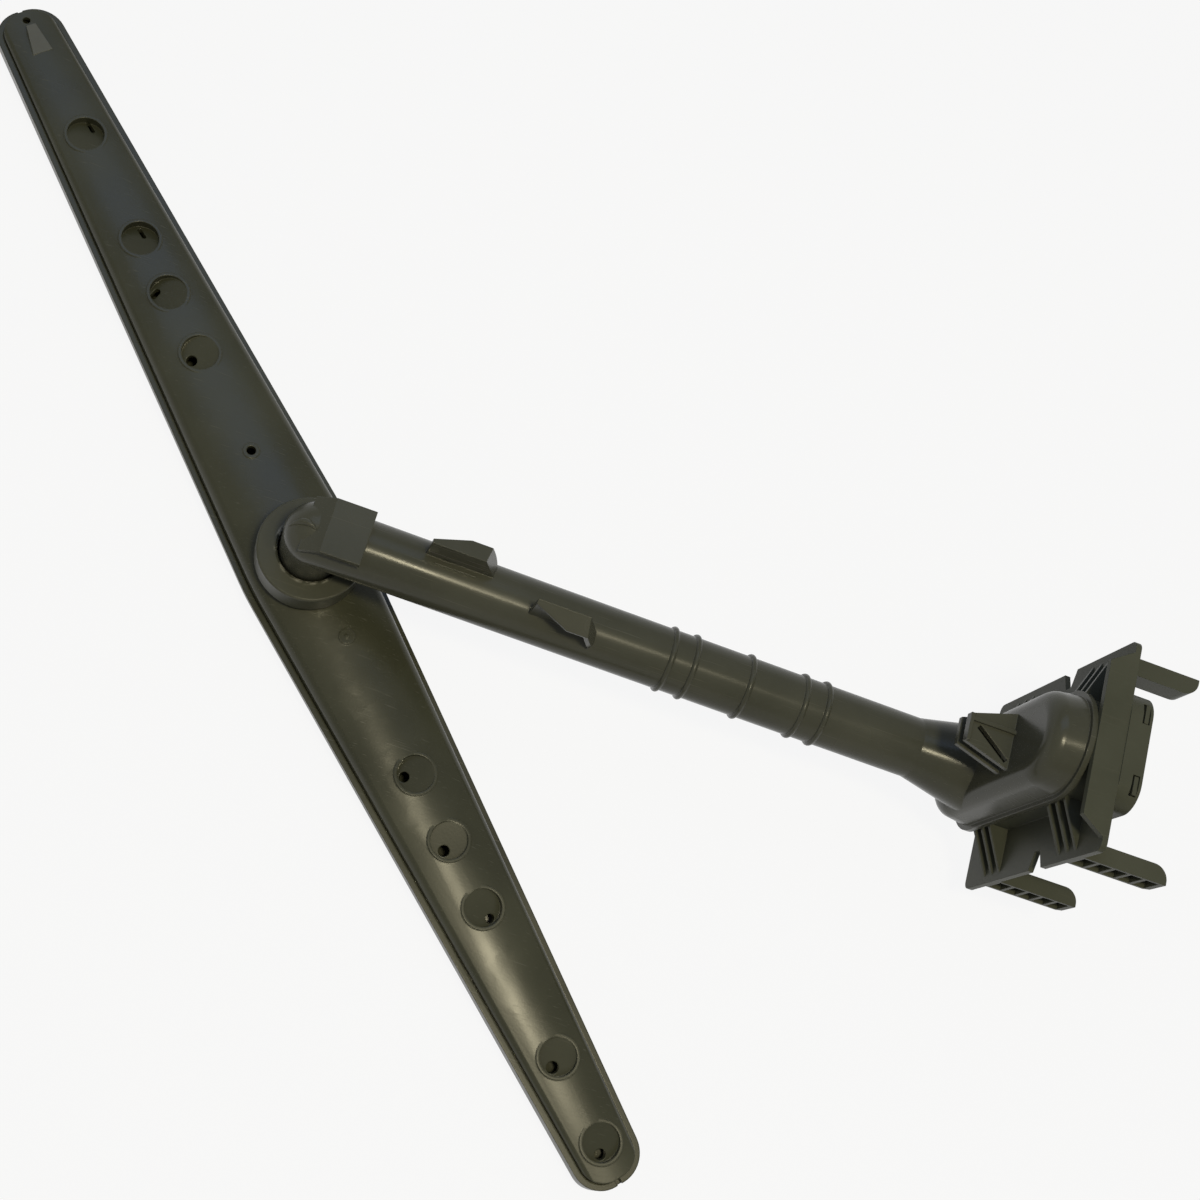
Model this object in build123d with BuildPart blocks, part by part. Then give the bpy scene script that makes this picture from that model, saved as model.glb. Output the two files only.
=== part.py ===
from build123d import *
import os
from math import atan2, cos, degrees, radians, sin, tan

# Dishwasher wash arm manifold.
# A feed tube hangs under the dish rack. Water enters at the docking plate,
# runs down the hood and along the tube, turns down through the spout and fills
# the wash arm, which spins freely about the spout.
# Lengths are in millimetres. The origin is the centre of the inlet mouth, +X
# points out of the inlet to the rear, and +Z is up.

# Layout of the assembly
HUB_REACH = 277.0        # spin axis to the inlet mouth, along X
INLET_RISE = 90.0        # inlet centre above the seam of the wash arm
TUBE_RISE = 41.3         # tube axis above the seam, at the spin axis
TUBE_FALL = 5.5          # drop of the tube axis from the spin axis to the hood
ARM_TURN = -45.3         # rest heading of the arm about +Z, from +X

# Feed tube
TUBE_RADIUS = 11.1
TUBE_WALL = 2.0
BEAD_CENTRE = 158.1      # middle bead from the spin axis
BEAD_SPREAD = 21.05      # middle bead to the inner bead of each pair
BEAD_PAIR = 8.5
BEAD_HEIGHT = 1.0
FLARE_LENGTH = 20.0      # cone where the tube opens into the hood
FLARE_RADIUS = 16.8
SPOUT_RADIUS = 11.0
SPOUT_NECK_RADIUS = 10.2
SPOUT_FOOT = 4.0         # lower end of the spout above the seam
SPOUT_LIP = 0.5          # snap lip below the retaining ring

# Rack head on top of the elbow
HEAD_START = 3.0
HEAD_LENGTH = 14.0
HEAD_WIDTH = 20.0
HEAD_TOP = 13.2          # above the tube axis
HEAD_THICKNESS = 2.4
HEAD_RAMP = 7.0
HEAD_RAMP_DROP = 5.0
HEAD_WEB_WIDTH = 15.0

# Rack hooks, one wing to each side of the tube
HOOK_STATION = 36.5
HOOK_PITCH = 39.5
HOOK_LENGTH = 25.0
HOOK_ROOF = 19.0         # level part of the wing, before its end slopes down
HOOK_INNER = 2.9         # upright wall from the tube axis
HOOK_REACH = 9.4         # free edge from the tube axis
HOOK_RIDGE = 23.4        # ridge above the tube axis
HOOK_FALL = 2.9          # from the ridge to the free edge
HOOK_WALL = 1.8
HOOK_NOSE = 4.6          # reach at the nose
HOOK_ROUND = 3.6         # rear outer corner

# Hood and docking plate
HOOD_HALF_WIDTH = 18.0
HOOD_DROP = 63.0         # from the inlet centre to the centre of the lower end
HOOD_DEPTH = 14.0
HOOD_DRAFT = 8.0
HOOD_WALL = 2.2
HOOD_ROUND = 6.0
LIP_WIDTH = 1.4
LIP_THICKNESS = 2.0
PLATE_SETBACK = 10.0     # inlet mouth behind the front face of the plate
PLATE_THICKNESS = 2.0
PLATE_WIDTH = 73.6
PLATE_TOP = 20.0         # above the inlet centre
PLATE_HEIGHT = 100.0
PLATE_CORNER = 3.0
BASE_RISE = 8.0          # raised wall between plate and hood
BASE_WALL = 3.0
NOTCH_LEVEL = -25.0
NOTCH_MOUTH = 9.0
NOTCH_FLOOR = 3.4
NOTCH_DEPTH = 6.5
FLANGE_THICKNESS = 2.5
FLANGE_INNER = 66.0
FLANGE_OUTER = 54.0
UPPER_RIBS = -3.0        # middle rib of each group of three
LOWER_RIBS = -58.5
RIB_PITCH = 5.8
RIB_THICKNESS = 1.5
RIB_MARGIN = 2.5

# Prongs that slide into the dock
PRONG_LENGTH = 32.0
PRONG_WIDTH = 6.2
PRONG_HEIGHT = 11.8
UPPER_PRONGS = 0.3
LOWER_PRONGS = -60.0
PRONG_TIP = 5.0
PRONG_BEVEL = 1.8        # lower inner edge
PRONG_WALL = 1.3
POCKET_COUNT = 5
POCKET_DEPTH = 4.6

# Inlet collar, seal and retainer
COLLAR_SIZE = 41.0
COLLAR_ROUND = 9.0
COLLAR_WALL = 2.2
INLET_RADIUS = 12.5
PORT_RADIUS = 15.0       # hole in the plate
SEAL_LENGTH = 5.2
RETAINER_LENGTH = 2.6
RETAINER_GAP = 0.2
WINDOW_WIDTH = 7.0
WINDOW_LENGTH = 2.6
WINDOW_INSET = 1.0
TAB_GAP = 0.3

# Bracket on the front of the hood
TONGUE_LEVEL = -15.0
TONGUE_LENGTH = 17.0
TONGUE_TIP_WIDTH = 9.8
TONGUE_ROOT_WIDTH = 21.0
TONGUE_THICKNESS = 2.2
TONGUE_GAP = 4.4
TONGUE_RIB = 1.3         # width and height of the lip and the rib on top
RIB_OFFSET = 3.0
SLIT_WIDTH = 1.8
SLIT_START = 4.0         # from the free end of the tongue
SLIT_OFFSET = 1.2
SLIT_RUN = 7.6

# Wash arm
ARM_LENGTH = 483.6
ARM_HUB_WIDTH = 47.0
ARM_TIP_WIDTH = 24.2
ARM_TIP_ROUND = 11.0
ARM_HUB_ROUND = 120.0
ARM_CROWN_HUB = 12.4     # top of the upper shell above the seam, on the centre line
ARM_CROWN_TIP = 4.4
ARM_SIDE_HUB = 8.0       # and at the shoulders
ARM_SIDE_TIP = 3.4
ARM_DEPTH_HUB = 10.0     # lower shell below the seam, on the centre line
ARM_DEPTH_TIP = 7.4
ARM_CHINE_HUB = 1.0      # and at its edges
ARM_CHINE_TIP = 6.0
ARM_WALL = 2.0
RIM_WIDTH = 2.4
RIM_HEIGHT = 1.2
SEAM_GAP = 0.3
SHOULDER_SHARE = 0.6     # rounding of the shoulders as a share of the side wall
CHINE_SHARE = 0.4
SIDE_SLACK = 0.05        # domes are this much wider than the plan that trims them
BOSS_TOP = 14.0
BOSS_RADIUS = 16.8
HUB_HOLE_RADIUS = 15.0

# Nozzles: station as a share of the half arm, jet offset along and across the
# arm, jet radius, and for a slot its centre distance and heading
NOZZLES = (
    (0.352, -1.1, -3.8, 1.9, 0, 0),
    (0.459, 2.4, -3.0, 2.0, 0, 0),
    (0.567, 4.5, 1.1, 1.7, 0, 0),
    (0.802, 2.4, -3.1, 2.2, 0, 0),
    (0.935, 3.7, -1.8, 2.0, 0, 0),
    (-0.360, 0.8, -3.7, 2.0, 0, 0),
    (-0.468, -2.5, -4.2, 1.3, 1.8, 115),
    (-0.566, -2.9, 2.1, 0.8, 3.5, 0),
    (-0.759, -3.4, 3.6, 0.8, 3.6, 0),
)
NOZZLE_RADIUS = 6.7
NOZZLE_RIM = 1.1
NOZZLE_LIP = 0.15        # rim above the crown
NOZZLE_DEPTH = 1.8       # in the middle of the cup
NOZZLE_FLOOR = 1.8       # left under the deep side
NOZZLE_TILT = 16.0       # the floor sinks towards the jet
BLEED_SHARE = -0.187     # small jet near the hub
BLEED_RADIUS = 1.7
BLEED_COLLAR = 3.0
GATE_SHARE = 0.128       # round mark where the melt entered the mould
GATE_RADIUS = 2.9
GATE_DOT = 0.8
MARK_HEIGHT = 0.3
WEDGE_FOOT = 21.0        # raised wedge from the far tip
WEDGE_TOP = 10.4
WEDGE_RISE = 2.6
WEDGE_WIDTH = 7.5
WEDGE_TOP_WIDTH = 3.6
TIP_JET_INSET = 6.4
TIP_JET_RADIUS = 1.4
DRAIN_WIDTH = 1.8        # slit in the rim at each tip
DRAIN_LENGTH = 4.0
DOWN_SHARES = (-0.88, -0.24, 0.66)   # jets in the underside
DOWN_RADIUS = 1.5
DOWN_COLLAR = 3.2
PAD_RADIUS = 12.0        # round pad under the hub
PAD_RISE = 0.5
PAD_ROOT = 3.0

# Bearing ring and retaining ring at the hub
RING_RADIUS = 19.0
RING_TOP = 24.7
RING_GAP = 0.7
RING_SKIRT = 4.0
RING_EDGE = 0.8
FIT_GAP = 0.2
RETAINING_RADIUS = 14.2
RETAINING_THICKNESS = 3.0
AXIAL_GAP = 0.3

# Derived places
HUB = Vector(-HUB_REACH, 0, -INLET_RISE)
PLATE_FRONT = -PLATE_SETBACK
PLATE_REAR = PLATE_FRONT + PLATE_THICKNESS
BASE_FRONT = PLATE_FRONT - BASE_RISE
HOOD_FRONT = BASE_FRONT - HOOD_DEPTH
TUBE_START = HUB + Vector(0, 0, TUBE_RISE)
TUBE_END = Vector(HOOD_FRONT, 0, TUBE_START.Z - TUBE_FALL)
TUBE_PLANE = Plane(origin=TUBE_START, x_dir=(0, 1, 0), z_dir=TUBE_END - TUBE_START)
TUBE_RUN = (TUBE_END - TUBE_START).length
BORE_RADIUS = TUBE_RADIUS - TUBE_WALL
SPOUT_BORE = SPOUT_NECK_RADIUS - TUBE_WALL
RING_SEAT = BOSS_TOP - RING_SKIRT
RETAINING_TOP = RING_SEAT - AXIAL_GAP
RETAINING_FOOT = RETAINING_TOP - RETAINING_THICKNESS
HALF_ARM = ARM_LENGTH / 2
NOZZLE_ROOT = NOZZLE_DEPTH + NOZZLE_RADIUS * tan(radians(NOZZLE_TILT)) + NOZZLE_FLOOR
TONGUE_END = HOOD_FRONT - TONGUE_LENGTH
OVERLAP = 1.0            # how far joined forms reach into each other


def rear_plane(x):
    """Plane across X that looks to the rear, with its local Y upwards."""
    return Plane(origin=(x, 0, 0), x_dir=(0, 1, 0), z_dir=(1, 0, 0))


def front_plane(x):
    """Plane across X that looks to the front, with its local Y upwards."""
    return Plane(origin=(x, 0, 0), x_dir=(0, -1, 0), z_dir=(-1, 0, 0))


def level(height):
    """Horizontal plane at the hub, a height above the seam, turned with the arm."""
    heading = (cos(radians(ARM_TURN)), sin(radians(ARM_TURN)), 0)
    return Plane(origin=HUB + Vector(0, 0, height), x_dir=heading, z_dir=(0, 0, 1))


def arm_station(u):
    """Plane across the arm at a distance u from the spin axis, local Y upwards."""
    arm = level(0)
    return Plane(origin=arm.from_local_coords((u, 0, 0)), x_dir=arm.y_dir, z_dir=arm.x_dir)


def crown_at(u):
    """Height of the upper shell on the centre line at station u."""
    share = abs(u) / HALF_ARM
    return ARM_CROWN_HUB + (ARM_CROWN_TIP - ARM_CROWN_HUB) * share


def hood_slot(inset=0.0):
    """Upright slot outline of the hood, concentric with the inlet at its top."""
    with Locations((0, -HOOD_DROP / 2)):
        SlotCenterToCenter(HOOD_DROP, 2 * (HOOD_HALF_WIDTH - inset), rotation=90)


def arm_plan(inset):
    """Face of the arm seen from above: a long hexagon with rounded tips and shoulders."""
    half = HALF_ARM - inset
    tip = ARM_TIP_WIDTH / 2 - inset
    hub = ARM_HUB_WIDTH / 2 - inset
    corner = ARM_TIP_ROUND - inset
    corners = [(-half, -tip), (0, -hub), (half, -tip), (half, tip), (0, hub), (-half, tip)]
    with BuildSketch() as plan:
        with BuildLine():
            FilletPolyline(*corners, radius=(corner, ARM_HUB_ROUND, corner) * 2, close=True)
        make_face()
    return plan.sketch


def arm_body(inset, hub_rise, tip_rise, hub_side, tip_side, rounding):
    """Bar above the seam with upright sides, round shoulders and a low crown that sinks to the tips."""
    with BuildPart() as body:
        with BuildSketch(level(0)):
            add(arm_plan(inset))
        extrude(amount=2 * BOSS_TOP)
        for end in (-1, 0, 1):
            share = abs(end) * (1 + ARM_TIP_ROUND / HALF_ARM)
            half = (ARM_HUB_WIDTH + (ARM_TIP_WIDTH - ARM_HUB_WIDTH) * share) / 2 - inset + SIDE_SLACK
            rise = hub_rise + (tip_rise - hub_rise) * share
            side = hub_side + (tip_side - hub_side) * share
            with BuildSketch(arm_station(end * share * HALF_ARM)) as section:
                with BuildLine():
                    Polyline((half, side), (half, -BOSS_TOP), (-half, -BOSS_TOP), (-half, side))
                    ThreePointArc((-half, side), (0, rise), (half, side))
                make_face()
                fillet(section.vertices().group_by(Axis.Y)[-1], rounding * side)
        loft(ruled=True, mode=Mode.INTERSECT)
    return body.part


def nozzle_floor(u, along, across):
    """Plane of a nozzle's sloping floor at station u, lowest towards its jet."""
    arm = level(crown_at(u) - NOZZLE_DEPTH)
    lean = (arm.x_dir * along + arm.y_dir * across).normalized() * tan(radians(NOZZLE_TILT))
    return Plane(arm.from_local_coords((u, 0, 0)), x_dir=arm.x_dir, z_dir=arm.z_dir + lean)


def nozzle_cup(u, along, across):
    """Round room of a nozzle above its sloping floor."""
    with BuildPart() as room:
        with BuildSketch(level(crown_at(u) - NOZZLE_ROOT)):
            with Locations((u, 0)):
                Circle(NOZZLE_RADIUS)
        extrude(amount=2 * NOZZLE_ROOT)
        split(bisect_by=nozzle_floor(u, along, across), keep=Keep.TOP)
    return room.part


# Hollow for the water, from the hood to the foot of the spout
with BuildPart() as hood_cavity:
    with BuildSketch(front_plane(BASE_FRONT)):
        hood_slot(HOOD_WALL)
    extrude(amount=HOOD_DEPTH - HOOD_WALL, taper=HOOD_DRAFT)
    fillet(hood_cavity.faces().sort_by(Axis.X)[0].edges(), HOOD_ROUND - HOOD_WALL)

with BuildPart() as water_way:
    add(hood_cavity.part)
    with BuildSketch(Plane(HUB + Vector(0, 0, SPOUT_FOOT))):
        Circle(SPOUT_BORE)
    extrude(amount=TUBE_RISE - SPOUT_FOOT)
    with Locations(TUBE_START):
        Sphere(BORE_RADIUS)
    with BuildSketch(TUBE_PLANE):
        Circle(BORE_RADIUS)
    extrude(amount=TUBE_RUN + HOOD_WALL)
    with BuildSketch(TUBE_PLANE.offset(TUBE_RUN - FLARE_LENGTH)):
        Circle(BORE_RADIUS)
    with BuildSketch(TUBE_PLANE.offset(TUBE_RUN + HOOD_ROUND)):
        Circle(FLARE_RADIUS - TUBE_WALL)
    loft()

# Hood: a shallow slot-shaped cover with a rounded front
with BuildPart() as hood:
    with BuildSketch(front_plane(BASE_FRONT)):
        hood_slot()
    extrude(amount=HOOD_DEPTH, taper=HOOD_DRAFT)
    fillet(hood.faces().sort_by(Axis.X)[0].edges(), HOOD_ROUND)

# One wing hook: an upright wall, a wing that folds out over the rack wire, and a
# sloping end that stops the wire. First the room for the wire, then the hook round it
hook_end = TUBE_PLANE.offset(HOOK_STATION)
hook_side = Plane(origin=hook_end.origin, x_dir=hook_end.z_dir, z_dir=(0, -1, 0))
hook_top = Plane(origin=hook_end.origin, x_dir=hook_end.z_dir, z_dir=hook_end.y_dir)
hook_pitch = HOOK_FALL / (HOOK_REACH - HOOK_INNER)
hook_foot = BORE_RADIUS

with BuildPart() as wire_room:
    inner = HOOK_INNER + HOOK_WALL
    outer = 2 * HOOK_REACH
    with BuildSketch(hook_end):
        with BuildLine():
            Polyline(
                (inner, 0),
                (inner, HOOK_RIDGE - HOOK_WALL),
                (outer, HOOK_RIDGE - HOOK_WALL - hook_pitch * (outer - inner)),
                (outer, 0),
                close=True,
            )
        make_face()
    extrude(amount=HOOK_LENGTH)
    with BuildSketch(hook_side):
        with BuildLine():
            Polyline(
                (0, 0),
                (0, HOOK_RIDGE),
                (HOOK_ROOF - HOOK_WALL, HOOK_RIDGE),
                (HOOK_LENGTH - HOOK_WALL, hook_foot),
                (HOOK_LENGTH - HOOK_WALL, 0),
                close=True,
            )
        make_face()
    extrude(amount=outer, both=True, mode=Mode.INTERSECT)

with BuildPart() as hook:
    with BuildSketch(hook_end):
        with BuildLine():
            Polyline(
                (HOOK_INNER, hook_foot),
                (HOOK_INNER, HOOK_RIDGE),
                (HOOK_REACH, HOOK_RIDGE - HOOK_FALL),
                (HOOK_REACH, hook_foot / 2),
                (HOOK_INNER + HOOK_WALL, hook_foot - HOOK_WALL / 2),
                close=True,
            )
        make_face()
    extrude(amount=HOOK_LENGTH)
    with BuildSketch(hook_side):
        with BuildLine():
            Polyline(
                (0, 0),
                (0, HOOK_RIDGE),
                (HOOK_ROOF, HOOK_RIDGE),
                (HOOK_LENGTH, hook_foot),
                (HOOK_LENGTH, 0),
                close=True,
            )
        make_face()
    extrude(amount=2 * HOOK_REACH, both=True, mode=Mode.INTERSECT)
    with BuildSketch(hook_top):
        with BuildLine():
            Polyline(
                (0, 0),
                (0, HOOK_NOSE),
                (HOOK_ROOF * 2 / 3, HOOK_REACH),
                (HOOK_LENGTH, HOOK_REACH),
                (HOOK_LENGTH, 0),
                close=True,
            )
        make_face()
    extrude(amount=2 * HOOK_RIDGE, mode=Mode.INTERSECT)
    fillet(hook.edges().group_by(Axis.Y)[-1].sort_by(Axis.X)[-1], HOOK_ROUND)
    add(wire_room.part, mode=Mode.SUBTRACT)

second_hook = hook.part.mirror(Plane.XZ).moved(Location(TUBE_PLANE.z_dir * HOOK_PITCH))

# Feed tube with its elbow, hood and rack fittings, one moulding
with BuildPart() as feed_tube:
    with BuildSketch(Plane(HUB + Vector(0, 0, RETAINING_TOP))):
        Circle(SPOUT_RADIUS)
    extrude(amount=TUBE_RISE - RETAINING_TOP)
    with BuildSketch(Plane(HUB + Vector(0, 0, SPOUT_FOOT))):
        Circle(SPOUT_NECK_RADIUS)
    extrude(amount=RETAINING_TOP - SPOUT_FOOT)
    with BuildSketch(Plane(HUB + Vector(0, 0, SPOUT_FOOT))):
        Circle(SPOUT_NECK_RADIUS + SPOUT_LIP)
    extrude(amount=RETAINING_FOOT - FIT_GAP - SPOUT_FOOT)
    with Locations(TUBE_START):
        Sphere(TUBE_RADIUS)
    with BuildSketch(TUBE_PLANE):
        Circle(TUBE_RADIUS)
    extrude(amount=TUBE_RUN)
    for shift in (-BEAD_SPREAD - BEAD_PAIR, -BEAD_SPREAD, 0, BEAD_SPREAD, BEAD_SPREAD + BEAD_PAIR):
        with Locations(TUBE_PLANE.offset(BEAD_CENTRE + shift)):
            Torus(TUBE_RADIUS, BEAD_HEIGHT)
    with BuildSketch(TUBE_PLANE.offset(TUBE_RUN - FLARE_LENGTH)):
        Circle(TUBE_RADIUS)
    with BuildSketch(TUBE_PLANE.offset(TUBE_RUN + HOOD_ROUND)):
        Circle(FLARE_RADIUS)
    loft()
    with BuildSketch(Plane.XZ):
        with BuildLine():
            head_x = TUBE_START.X + HEAD_START
            head_z = TUBE_START.Z + HEAD_TOP
            Polyline(
                (head_x, head_z),
                (head_x + HEAD_LENGTH, head_z),
                (head_x + HEAD_LENGTH, head_z - HEAD_THICKNESS),
                (head_x, head_z - HEAD_THICKNESS),
                (head_x - HEAD_RAMP, head_z - HEAD_THICKNESS - HEAD_RAMP_DROP),
                (head_x - HEAD_RAMP, head_z - HEAD_RAMP_DROP),
                close=True,
            )
        make_face()
    extrude(amount=HEAD_WIDTH / 2, both=True)
    with BuildSketch(Plane((head_x + HEAD_LENGTH / 2, 0, TUBE_START.Z))):
        Rectangle(HEAD_LENGTH, HEAD_WEB_WIDTH)
    extrude(amount=HEAD_TOP - HEAD_THICKNESS / 2)
    add(hook.part)
    add(second_hook)
    add(hood.part)
    with BuildSketch(front_plane(BASE_FRONT)):
        hood_slot(-LIP_WIDTH)
    extrude(amount=LIP_THICKNESS)
    for floor in (TONGUE_LEVEL, TONGUE_LEVEL - TONGUE_GAP - TONGUE_THICKNESS):
        with BuildSketch(Plane.XY.offset(floor)):
            with BuildLine():
                Polyline(
                    (HOOD_FRONT + OVERLAP, -TONGUE_ROOT_WIDTH / 2),
                    (HOOD_FRONT + OVERLAP, TONGUE_ROOT_WIDTH / 2),
                    (TONGUE_END, TONGUE_TIP_WIDTH / 2),
                    (TONGUE_END, -TONGUE_TIP_WIDTH / 2),
                    close=True,
                )
            make_face()
        extrude(amount=TONGUE_THICKNESS)
    with BuildSketch(Plane.XY.offset(TONGUE_LEVEL)):
        with Locations((TONGUE_END + TONGUE_RIB / 2, 0)):
            Rectangle(TONGUE_RIB, TONGUE_TIP_WIDTH)
        with Locations((HOOD_FRONT + (OVERLAP - TONGUE_LENGTH) / 2, RIB_OFFSET)):
            Rectangle(TONGUE_LENGTH + OVERLAP, TONGUE_RIB)
    extrude(amount=TONGUE_THICKNESS + TONGUE_RIB)
    slit_near = Vector(TONGUE_END + SLIT_START, SLIT_OFFSET)
    slit_far = Vector(HOOD_FRONT - SLIT_OFFSET, -SLIT_RUN)
    slit_way = slit_far - slit_near
    with BuildSketch(Plane.XY.offset(TONGUE_LEVEL)):
        with Locations((slit_near + slit_far) / 2):
            Rectangle(slit_way.length, SLIT_WIDTH, rotation=degrees(atan2(slit_way.Y, slit_way.X)))
    extrude(amount=TONGUE_THICKNESS, mode=Mode.SUBTRACT)
    add(water_way.part, mode=Mode.SUBTRACT)
feed_tube.part.label = "feed_tube"


# One prong: a bar with a rounded tip and a row of pockets in its outer side
with BuildPart() as prong:
    with BuildSketch(Plane.XY):
        with Locations((PLATE_FRONT + PRONG_LENGTH / 2, (PLATE_WIDTH - PRONG_WIDTH) / 2)):
            Rectangle(PRONG_LENGTH, PRONG_WIDTH)
    extrude(amount=PRONG_HEIGHT / 2, both=True)
    fillet(prong.edges().filter_by(Axis.Z).group_by(Axis.X)[-1].sort_by(Axis.Y)[0], PRONG_TIP)
    chamfer(prong.edges().group_by(Axis.Z)[0].filter_by(Axis.X).sort_by(Axis.Y)[0], PRONG_BEVEL)
    pocket_pitch = (PRONG_LENGTH - PLATE_THICKNESS - PRONG_WALL) / POCKET_COUNT
    with BuildSketch(Plane(origin=(0, PLATE_WIDTH / 2, 0), x_dir=(1, 0, 0), z_dir=(0, 1, 0))):
        with Locations((PLATE_REAR + (pocket_pitch * POCKET_COUNT) / 2, 0)):
            with GridLocations(pocket_pitch, 1, POCKET_COUNT, 1):
                Rectangle(pocket_pitch - PRONG_WALL, PRONG_HEIGHT - 2 * PRONG_WALL)
    extrude(amount=-POCKET_DEPTH, mode=Mode.SUBTRACT)

# Docking plate with the raised base for the hood, ribs, flange, prongs and collar
with BuildPart() as docking_plate:
    with BuildSketch(rear_plane(PLATE_FRONT)) as plate_face:
        with Locations((0, PLATE_TOP - PLATE_HEIGHT / 2)):
            RectangleRounded(PLATE_WIDTH, PLATE_HEIGHT, PLATE_CORNER)
        for side in (1, -1):
            with BuildLine():
                edge = side * PLATE_WIDTH / 2
                Polyline(
                    (edge, NOTCH_LEVEL - NOTCH_MOUTH / 2),
                    (edge - side * NOTCH_DEPTH, NOTCH_LEVEL - NOTCH_FLOOR / 2),
                    (edge - side * NOTCH_DEPTH, NOTCH_LEVEL + NOTCH_FLOOR / 2),
                    (edge, NOTCH_LEVEL + NOTCH_MOUTH / 2),
                    close=True,
                )
            make_face(mode=Mode.SUBTRACT)
    extrude(amount=PLATE_THICKNESS)
    with BuildSketch(front_plane(PLATE_FRONT)):
        hood_slot()
    extrude(amount=BASE_RISE)
    rib_steps = (-RIB_PITCH, 0, RIB_PITCH)
    for rib in [middle + step for middle in (UPPER_RIBS, LOWER_RIBS) for step in rib_steps]:
        with BuildSketch(Plane.XY.offset(rib)):
            with BuildLine():
                reach = PLATE_WIDTH / 2 - RIB_MARGIN
                Polyline(
                    (PLATE_FRONT + OVERLAP, -reach),
                    (PLATE_FRONT + OVERLAP, reach),
                    (PLATE_FRONT, reach),
                    (BASE_FRONT, HOOD_HALF_WIDTH - OVERLAP),
                    (BASE_FRONT, OVERLAP - HOOD_HALF_WIDTH),
                    (PLATE_FRONT, -reach),
                    close=True,
                )
            make_face()
        extrude(amount=RIB_THICKNESS / 2, both=True)
    with BuildSketch(Plane.XY.offset(PLATE_TOP - FLANGE_THICKNESS)):
        with BuildLine():
            Polyline(
                (PLATE_FRONT + OVERLAP, -FLANGE_INNER / 2),
                (PLATE_FRONT + OVERLAP, FLANGE_INNER / 2),
                (BASE_FRONT, FLANGE_OUTER / 2),
                (BASE_FRONT, -FLANGE_OUTER / 2),
                close=True,
            )
        make_face()
    extrude(amount=FLANGE_THICKNESS)
    for height in (UPPER_PRONGS, LOWER_PRONGS):
        add(prong.part.moved(Location((0, 0, height))))
        add(prong.part.mirror(Plane.XZ).moved(Location((0, 0, height))))
    with BuildSketch(rear_plane(PLATE_REAR)):
        collar_bore = COLLAR_SIZE - 2 * COLLAR_WALL
        RectangleRounded(COLLAR_SIZE, COLLAR_SIZE, COLLAR_ROUND)
        RectangleRounded(collar_bore, collar_bore, COLLAR_ROUND - COLLAR_WALL, mode=Mode.SUBTRACT)
    extrude(amount=PLATE_SETBACK - PLATE_THICKNESS)
    with BuildSketch(front_plane(PLATE_FRONT)):
        hood_slot(BASE_WALL)
    extrude(amount=BASE_RISE, mode=Mode.SUBTRACT)
    with BuildSketch(rear_plane(PLATE_FRONT)):
        Circle(PORT_RADIUS)
    extrude(amount=PLATE_THICKNESS, mode=Mode.SUBTRACT)
    with BuildSketch(Plane(origin=(-WINDOW_INSET - WINDOW_LENGTH / 2, 0, 0))):
        with GridLocations(1, COLLAR_SIZE - COLLAR_ROUND - WINDOW_WIDTH, 1, 2):
            Rectangle(WINDOW_LENGTH, WINDOW_WIDTH)
    extrude(amount=COLLAR_SIZE, both=True, mode=Mode.SUBTRACT)
docking_plate.part.label = "docking_plate"

# Rubber seal: a flange clamped in the collar and a nose that meets the dock
with BuildPart() as docking_seal:
    with BuildSketch(rear_plane(PLATE_REAR)):
        Circle(COLLAR_SIZE / 2 - COLLAR_WALL - RETAINER_GAP)
    extrude(amount=SEAL_LENGTH)
    with BuildSketch(rear_plane(PLATE_REAR)):
        Circle(PORT_RADIUS - RETAINER_GAP)
    extrude(amount=-PLATE_REAR)
    with BuildSketch(rear_plane(PLATE_REAR)):
        Circle(INLET_RADIUS)
    extrude(amount=-PLATE_REAR, mode=Mode.SUBTRACT)
docking_seal.part.label = "docking_seal"

# Retainer frame that clips the seal into the collar, with a tab in each window
with BuildPart() as seal_retainer:
    frame_size = COLLAR_SIZE - 2 * (COLLAR_WALL + RETAINER_GAP)
    frame_start = PLATE_REAR + SEAL_LENGTH
    with BuildSketch(rear_plane(frame_start)):
        RectangleRounded(frame_size, frame_size, COLLAR_ROUND - COLLAR_WALL - RETAINER_GAP)
    extrude(amount=RETAINER_LENGTH)
    tab_length = -WINDOW_INSET - TAB_GAP - frame_start
    with BuildSketch(Plane((frame_start + tab_length / 2, 0, 0))):
        with GridLocations(1, COLLAR_SIZE - COLLAR_ROUND - WINDOW_WIDTH, 1, 2):
            Rectangle(tab_length, WINDOW_WIDTH - 2 * TAB_GAP)
    extrude(amount=COLLAR_SIZE / 2 - TAB_GAP, both=True)
    with BuildSketch(rear_plane(frame_start)):
        Circle(PORT_RADIUS)
    extrude(amount=RETAINER_LENGTH, mode=Mode.SUBTRACT)
seal_retainer.part.label = "seal_retainer"

# Retaining ring on the neck of the spout, which carries the arm
with BuildPart() as retaining_ring:
    with BuildSketch(level(RETAINING_FOOT)):
        Circle(RETAINING_RADIUS)
        Circle(SPOUT_NECK_RADIUS + FIT_GAP, mode=Mode.SUBTRACT)
    extrude(amount=RETAINING_THICKNESS)
    chamfer(retaining_ring.edges().filter_by(GeomType.CIRCLE).sort_by(SortBy.RADIUS)[-2:], RING_EDGE)
retaining_ring.part.label = "retaining_ring"

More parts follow.
